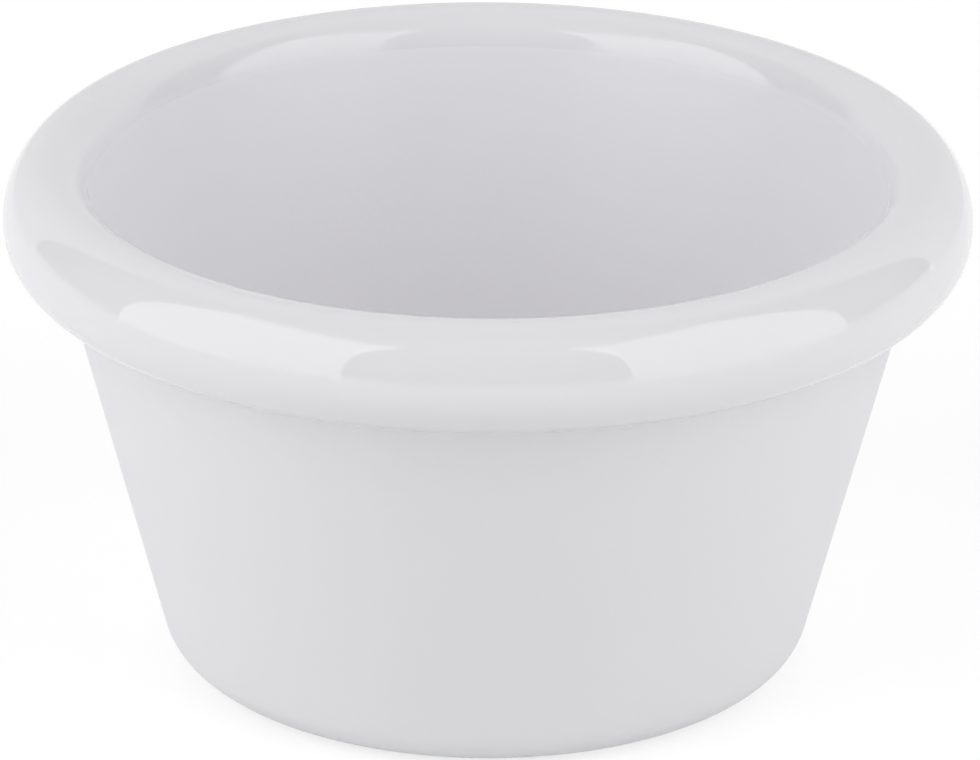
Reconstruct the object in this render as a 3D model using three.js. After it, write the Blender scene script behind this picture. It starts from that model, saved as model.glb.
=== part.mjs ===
// Dip bowl: a small round sauce bowl, moulded in one piece, with a thick rolled rim, a leaning
// wall of even thickness and a foot ring round a shallow recess underneath.
// Millimetres and degrees, +Z up, origin on the table at the centre of the foot.

import * as THREE from 'three';

// Driving dimensions
const HEIGHT = 38; // table to the crown of the rim
const RIM_DIAMETER = 70; // across the widest point of the rim
const RIM_DEPTH = 8.2; // crown down to the underside of the rim
const RIM_WIDEST_DROP = 4.55; // crown down to the widest point of the rim
const RIM_OVERHANG = 4.3; // how far the rim stands out past the wall below it
const LIP_ROUND = 2.75; // radius from the crown into the bowl
const UNDERCUT_FILLET = 0.6; // corner between the rim's underside and the wall
const WALL = 3.3; // thickness of the wall, square to its faces
const BASE_DIAMETER = 46; // where the line of the outer wall meets the table
const BASE_ROUND = 3.5; // outer corner between the wall and the foot
const FOOT_WIDTH = 2.4; // flat ring that the bowl stands on
const FOOT_EDGE = 0.4; // rounded inner edge of that ring
const RECESS_DEPTH = 0.9; // hollow inside the ring, under the floor
const FLOOR = 3.3; // thickness of the floor over the recess
const FLOOR_ROUND = 7; // inner corner between the wall and the floor

// Fineness of the facets
const SIDES = 96; // around the axis
const FACET_SAG = 0.02; // how deep a facet may cut inside a round stretch of the profile

// Heights and radii that follow from the driving dimensions
const rimRadius = RIM_DIAMETER / 2;
const widestZ = HEIGHT - RIM_WIDEST_DROP;
const undersideZ = HEIGHT - RIM_DEPTH;
const floorZ = RECESS_DEPTH + FLOOR;
const baseRadius = BASE_DIAMETER / 2;

// The wall leans out from the base to the rim's overhang: draft is its angle from the vertical.
const draft = Math.atan2(rimRadius - RIM_OVERHANG - baseRadius, undersideZ);
const draftDegrees = THREE.MathUtils.radToDeg(draft);

// Radius at height z of a surface that runs along the wall, this far out from its outer face.
function besideWall(z, outBy) {
  return baseRadius + z * Math.tan(draft) + outBy / Math.cos(draft);
}

// Points on a round stretch of the profile, part of a circle or of an ellipse. Angles are in
// degrees: 0 points away from the axis and 90 points up.
function bend(radius, z, reachOut, reachUp, from, to) {
  const [start, end] = [from, to].map(THREE.MathUtils.degToRad);
  const facetTurn = 2 * Math.acos(1 - FACET_SAG / Math.max(reachOut, reachUp));
  const steps = Math.ceil(Math.abs(end - start) / facetTurn);
  return new THREE.EllipseCurve(radius, z, reachOut, reachUp, start, end, to < from).getPoints(steps);
}

function corner(radius, z, round, from, to) {
  return bend(radius, z, round, round, from, to);
}

// Underside, from the axis outwards: recess, foot ring and the rounded corner up to the wall.
function foot() {
  const baseRoundRadius = besideWall(BASE_ROUND, -BASE_ROUND);
  const ringInside = baseRoundRadius - FOOT_WIDTH;
  const recessRadius = ringInside - FOOT_EDGE;
  const recessFillet = RECESS_DEPTH - FOOT_EDGE;
  return [
    new THREE.Vector2(0, RECESS_DEPTH),
    ...corner(recessRadius - recessFillet, FOOT_EDGE, recessFillet, 90, 0),
    ...corner(ringInside, FOOT_EDGE, FOOT_EDGE, 180, 270),
    ...corner(baseRoundRadius, BASE_ROUND, BASE_ROUND, -90, -draftDegrees),
  ];
}

// Rim, from the wall outwards and over: undercut corner, bulging underside, shoulder up to the
// crown, and the lip that rolls down into the bowl until it runs along the inner wall.
function rim() {
  const filletZ = undersideZ - UNDERCUT_FILLET;
  const filletRadius = besideWall(filletZ, UNDERCUT_FILLET);
  const lipZ = HEIGHT - LIP_ROUND;
  const crownRadius = besideWall(lipZ, LIP_ROUND - WALL);
  return [
    ...corner(filletRadius, filletZ, UNDERCUT_FILLET, 180 - draftDegrees, 90),
    ...bend(filletRadius, widestZ, rimRadius - filletRadius, widestZ - undersideZ, -90, 0),
    ...bend(crownRadius, widestZ, rimRadius - crownRadius, RIM_WIDEST_DROP, 0, 90),
    ...corner(crownRadius, lipZ, LIP_ROUND, 90, 180 - draftDegrees),
  ];
}

// Bottom of the hollow: the rounded corner from the inner wall, then the floor in to the axis.
function floor() {
  const roundZ = floorZ + FLOOR_ROUND;
  const roundRadius = besideWall(roundZ, -WALL - FLOOR_ROUND);
  return [
    ...corner(roundRadius, roundZ, FLOOR_ROUND, -draftDegrees, -90),
    new THREE.Vector2(0, floorZ),
  ];
}

// Stretches meet end to end, so the first point of a stretch repeats the last one before it.
function withoutRepeats(points) {
  const repeatGap = 1e-3;
  return points.filter((point, i) => i === 0 || point.distanceTo(points[i - 1]) > repeatGap);
}

// The bowl is one solid: its closed profile turned once round the axis.
const profile = withoutRepeats([...foot(), ...rim(), ...floor()]);
const bowlGeometry = new THREE.LatheGeometry(profile, SIDES).rotateX(Math.PI / 2);
const whiteMelamine = new THREE.MeshStandardMaterial({ color: 0xe1e0e3, roughness: 0.35, metalness: 0 });

const bowl = new THREE.Mesh(bowlGeometry, whiteMelamine);
bowl.name = 'bowl';

const dipBowl = new THREE.Group();
dipBowl.add(bowl);

export default dipBowl;
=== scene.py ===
import math

import bmesh
import bpy
from mathutils import Matrix, Vector


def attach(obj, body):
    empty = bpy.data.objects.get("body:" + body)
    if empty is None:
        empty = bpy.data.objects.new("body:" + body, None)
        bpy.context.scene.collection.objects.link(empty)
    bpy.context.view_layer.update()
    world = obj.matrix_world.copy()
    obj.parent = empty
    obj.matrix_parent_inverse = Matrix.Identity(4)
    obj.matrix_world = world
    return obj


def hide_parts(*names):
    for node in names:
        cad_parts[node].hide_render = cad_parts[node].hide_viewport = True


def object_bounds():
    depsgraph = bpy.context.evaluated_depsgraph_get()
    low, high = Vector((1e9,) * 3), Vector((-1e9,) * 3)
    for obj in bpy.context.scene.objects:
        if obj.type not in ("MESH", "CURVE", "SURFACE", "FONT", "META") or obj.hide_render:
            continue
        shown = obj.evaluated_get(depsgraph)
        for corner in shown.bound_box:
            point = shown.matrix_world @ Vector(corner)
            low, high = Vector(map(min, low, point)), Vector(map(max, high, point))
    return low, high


# Dip bowl: one white melamine moulding with a polished rolled rim, in a plain white studio

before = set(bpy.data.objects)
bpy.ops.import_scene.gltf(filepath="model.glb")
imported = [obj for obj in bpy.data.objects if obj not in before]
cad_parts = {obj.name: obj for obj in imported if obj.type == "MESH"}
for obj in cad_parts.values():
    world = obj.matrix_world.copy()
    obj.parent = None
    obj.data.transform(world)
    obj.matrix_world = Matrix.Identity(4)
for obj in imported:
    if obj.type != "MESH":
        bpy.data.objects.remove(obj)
cad_low, cad_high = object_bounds()

MM = 0.001
RIGHT = Vector((1, 0, 0))
BACK = Vector((0, 1, 0))
UP = Vector((0, 0, 1))

# Sizes of the moulding, in metres: the overall ones come from the frame
HEIGHT = cad_high.z
RIM_RADIUS = cad_high.x
RIM_DEPTH = 8.2 * MM  # crown down to the underside of the rim
RIM_WIDEST_DROP = 4.55 * MM  # crown down to the widest point of the rim
RIM_OVERHANG = 4.3 * MM  # how far the rim stands out past the wall below it
LIP_ROUND = 2.75 * MM  # radius from the crown into the bowl
UNDERCUT_FILLET = 0.6 * MM  # corner between the rim's underside and the wall
WALL = 3.3 * MM  # thickness of the wall, square to its faces
BASE_RADIUS = 23 * MM  # where the line of the outer wall meets the table
BASE_ROUND = 3.5 * MM  # outer corner between the wall and the foot
FOOT_WIDTH = 2.4 * MM  # flat ring that the bowl stands on
FOOT_EDGE = 0.4 * MM  # rounded inner edge of that ring
RECESS_DEPTH = 0.9 * MM  # hollow inside the ring, under the floor
FLOOR = 3.3 * MM  # thickness of the floor over the recess
FLOOR_ROUND = 7 * MM  # inner corner between the wall and the floor

# Fineness of the mesh
SIDES = 192  # around the axis
DEGREES_PER_FACET = 4  # along a round stretch of the profile
STRAIGHT_CUTS = 8  # along a straight stretch of the profile
MERGE_GAP = 1e-4 * MM

# Camera, from the photograph's outline: a long lens a little over half a metre away
IMAGE_WIDTH = 980
LENS_PIXELS = 8032.9
SENSOR_WIDTH = 36.0
CAMERA_DISTANCE = 584.93 * MM
CAMERA_ELEVATION = math.radians(22.751)
CAMERA_ROLL = math.radians(0.375)
CAMERA_TARGET = Vector((0.215, 0.0, 20.434)) * MM


# Profile of the moulding: radius along X and height along Z

WALL_TOP_Z = HEIGHT - RIM_DEPTH
DRAFT = math.atan2(RIM_RADIUS - RIM_OVERHANG - BASE_RADIUS, WALL_TOP_Z)  # lean of the wall
DRAFT_DEGREES = math.degrees(DRAFT)
FLOOR_Z = RECESS_DEPTH + FLOOR


def beside_wall(z, out_by):
    """Radius at height z of a surface that runs along the wall, this far out from its outer face."""
    return BASE_RADIUS + z * math.tan(DRAFT) + out_by / math.cos(DRAFT)


CROWN_RADIUS = beside_wall(HEIGHT - LIP_ROUND, LIP_ROUND - WALL)
LIP_END_Z = HEIGHT - LIP_ROUND * (1 - math.sin(DRAFT))


def bend(mesh, radius, z, reach_out, reach_up, start, end):
    """Adds a round stretch of profile, part of a circle or ellipse. 0 degrees points out, 90 up."""
    begin = math.radians(start)
    first = mesh.verts.new((math.cos(begin), 0, math.sin(begin)))
    older = set(mesh.verts) - {first}
    steps = math.ceil(abs(end - start) / DEGREES_PER_FACET)
    bmesh.ops.spin(
        mesh, geom=[first], cent=(0, 0, 0), axis=(0, -1, 0), angle=math.radians(end - start), steps=steps
    )
    added = [vert for vert in mesh.verts if vert not in older]
    bmesh.ops.scale(mesh, vec=(reach_out, 1, reach_up), verts=added)
    bmesh.ops.translate(mesh, vec=(radius, 0, z), verts=added)


def corner(mesh, radius, z, rounding, start, end):
    """Adds part of a circle to the profile."""
    bend(mesh, radius, z, rounding, rounding, start, end)


def straight(mesh, start, end):
    """Adds a straight stretch of profile between two (radius, height) points."""
    ends = [mesh.verts.new((radius, 0, z)) for radius, z in (start, end)]
    line = mesh.edges.new(ends)
    bmesh.ops.subdivide_edges(mesh, edges=[line], cuts=STRAIGHT_CUTS)


def foot_profile(mesh):
    """Recess under the floor, its corner, and the flat ring that the bowl stands on."""
    base_round_radius = beside_wall(BASE_ROUND, -BASE_ROUND)
    ring_inside = base_round_radius - FOOT_WIDTH
    recess_radius = ring_inside - FOOT_EDGE
    recess_fillet = RECESS_DEPTH - FOOT_EDGE
    straight(mesh, (0, RECESS_DEPTH), (recess_radius - recess_fillet, RECESS_DEPTH))
    corner(mesh, recess_radius - recess_fillet, FOOT_EDGE, recess_fillet, 90, 0)
    corner(mesh, ring_inside, FOOT_EDGE, FOOT_EDGE, 180, 270)
    straight(mesh, (ring_inside, 0), (base_round_radius, 0))


def outside_profile(mesh):
    """Rounded bottom corner, leaning wall and the small corner under the rim."""
    fillet_z = WALL_TOP_Z - UNDERCUT_FILLET
    fillet_radius = beside_wall(fillet_z, UNDERCUT_FILLET)
    wall_start = BASE_ROUND * (1 - math.sin(DRAFT))
    wall_end = fillet_z + UNDERCUT_FILLET * math.sin(DRAFT)
    corner(mesh, beside_wall(BASE_ROUND, -BASE_ROUND), BASE_ROUND, BASE_ROUND, -90, -DRAFT_DEGREES)
    straight(mesh, (beside_wall(wall_start, 0), wall_start), (beside_wall(wall_end, 0), wall_end))
    corner(mesh, fillet_radius, fillet_z, UNDERCUT_FILLET, 180 - DRAFT_DEGREES, 90)


def rim_profile(mesh):
    """Bulging underside and the shoulder up to the crown."""
    widest_z = HEIGHT - RIM_WIDEST_DROP
    under_radius = beside_wall(WALL_TOP_Z - UNDERCUT_FILLET, UNDERCUT_FILLET)
    bend(mesh, under_radius, widest_z, RIM_RADIUS - under_radius, widest_z - WALL_TOP_Z, -90, 0)
    bend(mesh, CROWN_RADIUS, widest_z, RIM_RADIUS - CROWN_RADIUS, RIM_WIDEST_DROP, 0, 90)


def inside_profile(mesh):
    """Lip that rolls down into the bowl, inner wall, its rounded corner and the floor."""
    round_z = FLOOR_Z + FLOOR_ROUND
    round_radius = beside_wall(round_z, -WALL - FLOOR_ROUND)
    wall_end = round_z - FLOOR_ROUND * math.sin(DRAFT)
    corner(mesh, CROWN_RADIUS, HEIGHT - LIP_ROUND, LIP_ROUND, 90, 180 - DRAFT_DEGREES)
    straight(mesh, (beside_wall(LIP_END_Z, -WALL), LIP_END_Z), (beside_wall(wall_end, -WALL), wall_end))
    corner(mesh, round_radius, round_z, FLOOR_ROUND, -DRAFT_DEGREES, -90)
    straight(mesh, (round_radius, FLOOR_Z), (0, FLOOR_Z))


def turn_round_axis(draw_profile, finish_index, data):
    """Fills data with one stretch of the profile turned round the axis, in one finish."""
    mesh = bmesh.new()
    draw_profile(mesh)
    bmesh.ops.remove_doubles(mesh, verts=mesh.verts, dist=MERGE_GAP)
    profile = mesh.verts[:] + mesh.edges[:]
    bmesh.ops.spin(
        mesh, geom=profile, cent=(0, 0, 0), axis=(0, 0, 1), angle=2 * math.pi, steps=SIDES, use_merge=True
    )
    for face in mesh.faces:
        face.material_index = finish_index
        face.smooth = True
    mesh.to_mesh(data)
    mesh.free()


def make_bowl(finishes):
    """One closed moulding, made of its stretches, so that each has its own finish."""
    data = bpy.data.meshes.new("bowl_moulding")
    mesh = bmesh.new()
    for index, (draw_profile, _) in enumerate(finishes):
        turn_round_axis(draw_profile, index, data)
        mesh.from_mesh(data)
    bmesh.ops.remove_doubles(mesh, verts=mesh.verts, dist=MERGE_GAP)
    bmesh.ops.recalc_face_normals(mesh, faces=mesh.faces)
    mesh.to_mesh(data)
    mesh.free()
    for _, material in finishes:
        data.materials.append(material)
    bowl = bpy.data.objects.new("bowl_moulding", data)
    bpy.context.scene.collection.objects.link(bowl)
    return bowl


# Finishes: satin as it leaves the mould, polished on the rim

WHITE = (0.9, 0.892, 0.918)
MELAMINE_IOR = 1.55
OUTSIDE_ROUGHNESS = 0.5
INSIDE_ROUGHNESS = 0.4
POLISH_ROUGHNESS = 0.025
POLISH_MARGIN = 0.3 * MM  # full polish stops this far above the end of the lip's round
POLISH_FADE = 0.9 * MM  # height over which the polish then dies out
CLOUD_SIZE = 12 * MM
CLOUD_DETAIL = 4
CLOUD_TINT = 0.01
CLOUD_GLOSS = 0.15
GRAIN_SIZE = 0.4 * MM
GRAIN_DETAIL = 3
GRAIN_DEPTH = 0.01 * MM


def noise(nodes, links, place, size, detail):
    """Soft spots of about this size, from 0 to 1."""
    texture = nodes.new("ShaderNodeTexNoise")
    texture.inputs["Scale"].default_value = 1 / size
    texture.inputs["Detail"].default_value = detail
    links.new(place, texture.inputs["Vector"])
    return texture.outputs["Fac"]


def cloudy_white(nodes, links, cloud):
    """White that goes a little up and down with the cloud."""
    tint = nodes.new("ShaderNodeMix")
    tint.data_type = "RGBA"
    tint.inputs["A"].default_value = [(1 - CLOUD_TINT) * value for value in WHITE] + [1]
    tint.inputs["B"].default_value = [(1 + CLOUD_TINT) * value for value in WHITE] + [1]
    links.new(cloud, tint.inputs["Factor"])
    return tint.outputs["Result"]


def cloudy_gloss(nodes, links, cloud, roughness):
    """Roughness that goes a little up and down with the cloud."""
    gloss = nodes.new("ShaderNodeMapRange")
    gloss.inputs["To Min"].default_value = roughness * (1 - CLOUD_GLOSS)
    gloss.inputs["To Max"].default_value = roughness * (1 + CLOUD_GLOSS)
    links.new(cloud, gloss.inputs["Value"])
    return gloss.outputs["Result"]


def satin_share(nodes, links, place, polished_above):
    """0 above a height, where the polish is full, rising to 1 where it has died out below."""
    axes = nodes.new("ShaderNodeSeparateXYZ")
    links.new(place, axes.inputs["Vector"])
    share = nodes.new("ShaderNodeMapRange")
    share.inputs["From Min"].default_value = polished_above - POLISH_FADE
    share.inputs["From Max"].default_value = polished_above
    share.inputs["To Min"].default_value = 1
    share.inputs["To Max"].default_value = 0
    links.new(axes.outputs["Z"], share.inputs["Value"])
    return share.outputs["Result"]


def melamine(name, roughness, grainy=True, polished_above=None):
    """White moulded melamine with a cloudy colour and gloss, and with a fine grain if it is grainy.
    Towards the height polished_above the grain dies out and the gloss rises to the rim's polish."""
    material = bpy.data.materials.new(name)
    material.use_nodes = True
    nodes, links = material.node_tree.nodes, material.node_tree.links
    shader = nodes["Principled BSDF"]
    shader.inputs["IOR"].default_value = MELAMINE_IOR
    place = nodes.new("ShaderNodeTexCoord").outputs["Object"]
    cloud = noise(nodes, links, place, CLOUD_SIZE, CLOUD_DETAIL)
    gloss = cloudy_gloss(nodes, links, cloud, roughness)
    links.new(cloudy_white(nodes, links, cloud), shader.inputs["Base Color"])

    if grainy:
        grain = nodes.new("ShaderNodeBump")
        grain.inputs["Distance"].default_value = GRAIN_DEPTH
        links.new(noise(nodes, links, place, GRAIN_SIZE, GRAIN_DETAIL), grain.inputs["Height"])
        links.new(grain.outputs["Normal"], shader.inputs["Normal"])

    if grainy and polished_above is not None:
        satin = satin_share(nodes, links, place, polished_above)
        links.new(satin, grain.inputs["Strength"])
        fade = nodes.new("ShaderNodeMix")
        links.new(satin, fade.inputs["Factor"])
        links.new(cloudy_gloss(nodes, links, cloud, POLISH_ROUGHNESS), fade.inputs["A"])
        links.new(gloss, fade.inputs["B"])
        gloss = fade.outputs["Result"]

    links.new(gloss, shader.inputs["Roughness"])
    return material


# Studio: a brightness of 1 is white, and places are measured from the middle of the foot

STUDIO_FLOOR_REACH = 3.0
STUDIO_FLOOR_GAP = 0.02 * MM  # keeps the floor out of the plane of the foot ring
STUDIO_FLOOR_WHITE = (0.8, 0.8, 0.8, 1.0)
STUDIO_FLOOR_GLOW = 0.715
STUDIO_FLOOR_SHADE = (0.38, 0.38, 0.38, 1.0)
BOARD_BLACK = (0.02, 0.02, 0.02, 1.0)
ROOM_WHITE = (1.0, 1.0, 1.0, 1.0)
ROOM_BRIGHTNESS = 0.13
PANEL_THICKNESS = 10 * MM

LEFT_BRIGHTNESS = 1.91
LEFT_SOFTBOX_FRONT = Vector((-255, -411, 0)) * MM
LEFT_SOFTBOX_REAR = Vector((-421, -7, 0)) * MM
LEFT_SOFTBOX_HEIGHT = 635 * MM
LEFT_STRIP_LOW = Vector((-297, -406, 360)) * MM
LEFT_STRIP_HIGH = Vector((-233, -440, 738)) * MM

RIGHT_BRIGHTNESS = 1.81
RIGHT_SOFTBOX_FRONT = Vector((250, -405, 0)) * MM
RIGHT_SOFTBOX_REAR = Vector((345, -27, 0)) * MM
RIGHT_SOFTBOX_HEIGHT = 600 * MM
RIGHT_STRIP_LOW = Vector((297, -406, 360)) * MM
RIGHT_STRIP_HIGH = Vector((237, -438, 727)) * MM
STRIP_WIDTH = 76 * MM

REAR_BRIGHTNESS = 0.79
REAR_PANEL_LEFT = Vector((-378, 270, 0)) * MM
REAR_PANEL_RIGHT = Vector((334, 185, 0)) * MM
REAR_PANEL_HEIGHT = 700 * MM

OVERHEAD_BRIGHTNESS = 0.335
OVERHEAD_CENTRE = Vector((-40, -140, 700)) * MM
OVERHEAD_WIDTH = 780 * MM
OVERHEAD_LENGTH = 980 * MM


def black_board():
    """Dull black board for the backs of the lamps."""
    material = bpy.data.materials.new("black_board")
    material.use_nodes = True
    shader = material.node_tree.nodes["Principled BSDF"]
    shader.inputs["Base Color"].default_value = BOARD_BLACK
    shader.inputs["Roughness"].default_value = 1
    return material


BLACK_BOARD = black_board()


def larger(nodes, links, first, second):
    """The larger of two values."""
    compare = nodes.new("ShaderNodeMath")
    compare.operation = "MAXIMUM"
    links.new(first, compare.inputs[0])
    links.new(second, compare.inputs[1])
    return compare.outputs["Value"]


def white_floor():
    """White paper. To the camera and in reflections it glows, so that only the bowl's shadow shows."""
    material = bpy.data.materials.new("white_floor")
    material.use_nodes = True
    nodes, links = material.node_tree.nodes, material.node_tree.links
    nodes.clear()
    paper = nodes.new("ShaderNodeBsdfDiffuse")
    paper.inputs["Color"].default_value = STUDIO_FLOOR_WHITE
    shadow = nodes.new("ShaderNodeBsdfDiffuse")
    shadow.inputs["Color"].default_value = STUDIO_FLOOR_SHADE
    glow = nodes.new("ShaderNodeEmission")
    glow.inputs["Strength"].default_value = STUDIO_FLOOR_GLOW
    background = nodes.new("ShaderNodeAddShader")
    links.new(shadow.outputs["BSDF"], background.inputs[0])
    links.new(glow.outputs["Emission"], background.inputs[1])

    ray = nodes.new("ShaderNodeLightPath").outputs
    seen = larger(nodes, links, ray["Is Camera Ray"], ray["Is Glossy Ray"])
    seen_or_through = larger(nodes, links, seen, ray["Is Transmission Ray"])
    mix = nodes.new("ShaderNodeMixShader")
    links.new(seen_or_through, mix.inputs["Fac"])
    links.new(paper.outputs["BSDF"], mix.inputs[1])
    links.new(background.outputs["Shader"], mix.inputs[2])
    output = nodes.new("ShaderNodeOutputMaterial")
    links.new(mix.outputs["Shader"], output.inputs["Surface"])
    return material


def make_sheet(name, place, width, length, material):
    """Flat sheet whose middle and turn are given by a matrix."""
    mesh = bmesh.new()
    size = Matrix.Diagonal((width, length, 1, 1))
    bmesh.ops.create_grid(mesh, x_segments=1, y_segments=1, size=0.5, matrix=place @ size)
    data = bpy.data.meshes.new(name)
    mesh.to_mesh(data)
    mesh.free()
    data.materials.append(material)
    sheet = bpy.data.objects.new(name, data)
    bpy.context.scene.collection.objects.link(sheet)
    return sheet


def make_panel(name, centre, across, up, width, height, brightness):
    """Evenly bright rectangular lamp. Its opaque back is on the side that across x up points to."""
    away = across.cross(up)
    turn = Matrix((across, up, away)).transposed().to_4x4()
    lamp = bpy.data.lights.new(name, "AREA")
    lamp.shape = "RECTANGLE"
    lamp.size = width
    lamp.size_y = height
    lamp.energy = brightness * math.pi * width * height
    panel = bpy.data.objects.new(name, lamp)
    panel.matrix_world = Matrix.Translation(centre) @ turn
    panel.visible_camera = False
    bpy.context.scene.collection.objects.link(panel)
    back_place = Matrix.Translation(centre + PANEL_THICKNESS * away) @ turn
    back = make_sheet(name + "_back", back_place, width, height, BLACK_BOARD)
    back.visible_camera = False


def make_upright_panel(name, left, right, height, brightness):
    """Upright lamp on the floor between two places, left and right as seen from the bowl."""
    span = left - right
    centre = (left + right + height * UP) / 2
    make_panel(name, centre, span.normalized(), UP, span.length, height, brightness)


def make_strip(name, low, high, brightness):
    """Narrow lamp along the line between two places, turned to the bowl's axis."""
    line = high - low
    centre = (low + high) / 2
    outwards = Vector((centre.x, centre.y, 0))
    across = line.cross(outwards).normalized()
    make_panel(name, centre, across, line.normalized(), STRIP_WIDTH, line.length, brightness)


def make_lamps():
    """Large soft lamps at both sides, each with a strip at its inner top corner, and two weak ones."""
    make_upright_panel(
        "left_softbox", LEFT_SOFTBOX_FRONT, LEFT_SOFTBOX_REAR, LEFT_SOFTBOX_HEIGHT, LEFT_BRIGHTNESS
    )
    make_upright_panel(
        "right_softbox", RIGHT_SOFTBOX_REAR, RIGHT_SOFTBOX_FRONT, RIGHT_SOFTBOX_HEIGHT, RIGHT_BRIGHTNESS
    )
    make_strip("left_strip", LEFT_STRIP_LOW, LEFT_STRIP_HIGH, LEFT_BRIGHTNESS)
    make_strip("right_strip", RIGHT_STRIP_LOW, RIGHT_STRIP_HIGH, RIGHT_BRIGHTNESS)
    make_upright_panel("rear_panel", REAR_PANEL_LEFT, REAR_PANEL_RIGHT, REAR_PANEL_HEIGHT, REAR_BRIGHTNESS)
    make_panel(
        "overhead_panel",
        OVERHEAD_CENTRE,
        RIGHT,
        BACK,
        OVERHEAD_WIDTH,
        OVERHEAD_LENGTH,
        OVERHEAD_BRIGHTNESS,
    )


def make_room():
    """Dim white light from all round."""
    world = bpy.data.worlds.new("studio")
    world.use_nodes = True
    background = world.node_tree.nodes["Background"]
    background.inputs["Color"].default_value = ROOM_WHITE
    background.inputs["Strength"].default_value = ROOM_BRIGHTNESS
    bpy.context.scene.world = world


def make_camera():
    """Camera in front of the bowl and above it, rolled a little about its own line of sight."""
    towards_camera = math.sin(CAMERA_ELEVATION) * UP - math.cos(CAMERA_ELEVATION) * BACK
    level_up = towards_camera.cross(RIGHT)
    tilted_right = math.cos(CAMERA_ROLL) * RIGHT + math.sin(CAMERA_ROLL) * level_up
    tilted_up = math.cos(CAMERA_ROLL) * level_up - math.sin(CAMERA_ROLL) * RIGHT
    lens = bpy.data.cameras.new("camera")
    lens.sensor_fit = "HORIZONTAL"
    lens.sensor_width = SENSOR_WIDTH
    lens.lens = LENS_PIXELS * SENSOR_WIDTH / IMAGE_WIDTH
    camera = bpy.data.objects.new("camera", lens)
    camera.matrix_world = Matrix((tilted_right, tilted_up, towards_camera)).transposed().to_4x4()
    camera.location = CAMERA_TARGET + CAMERA_DISTANCE * towards_camera
    bpy.context.scene.collection.objects.link(camera)
    bpy.context.scene.camera = camera


FINISHES = [
    (foot_profile, melamine("foot_satin", OUTSIDE_ROUGHNESS)),
    (outside_profile, melamine("outside_satin", OUTSIDE_ROUGHNESS)),
    (rim_profile, melamine("rim_polish", POLISH_ROUGHNESS, grainy=False)),
    (inside_profile, melamine("inside_satin", INSIDE_ROUGHNESS, polished_above=LIP_END_Z + POLISH_MARGIN)),
]

bowl = make_bowl(FINISHES)
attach(bowl, "root")
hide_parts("bowl")

floor_place = Matrix.Translation(-STUDIO_FLOOR_GAP * UP)
make_sheet("studio_floor", floor_place, 2 * STUDIO_FLOOR_REACH, 2 * STUDIO_FLOOR_REACH, white_floor())
make_lamps()
make_room()
make_camera()
bpy.context.scene.view_settings.view_transform = "Standard"
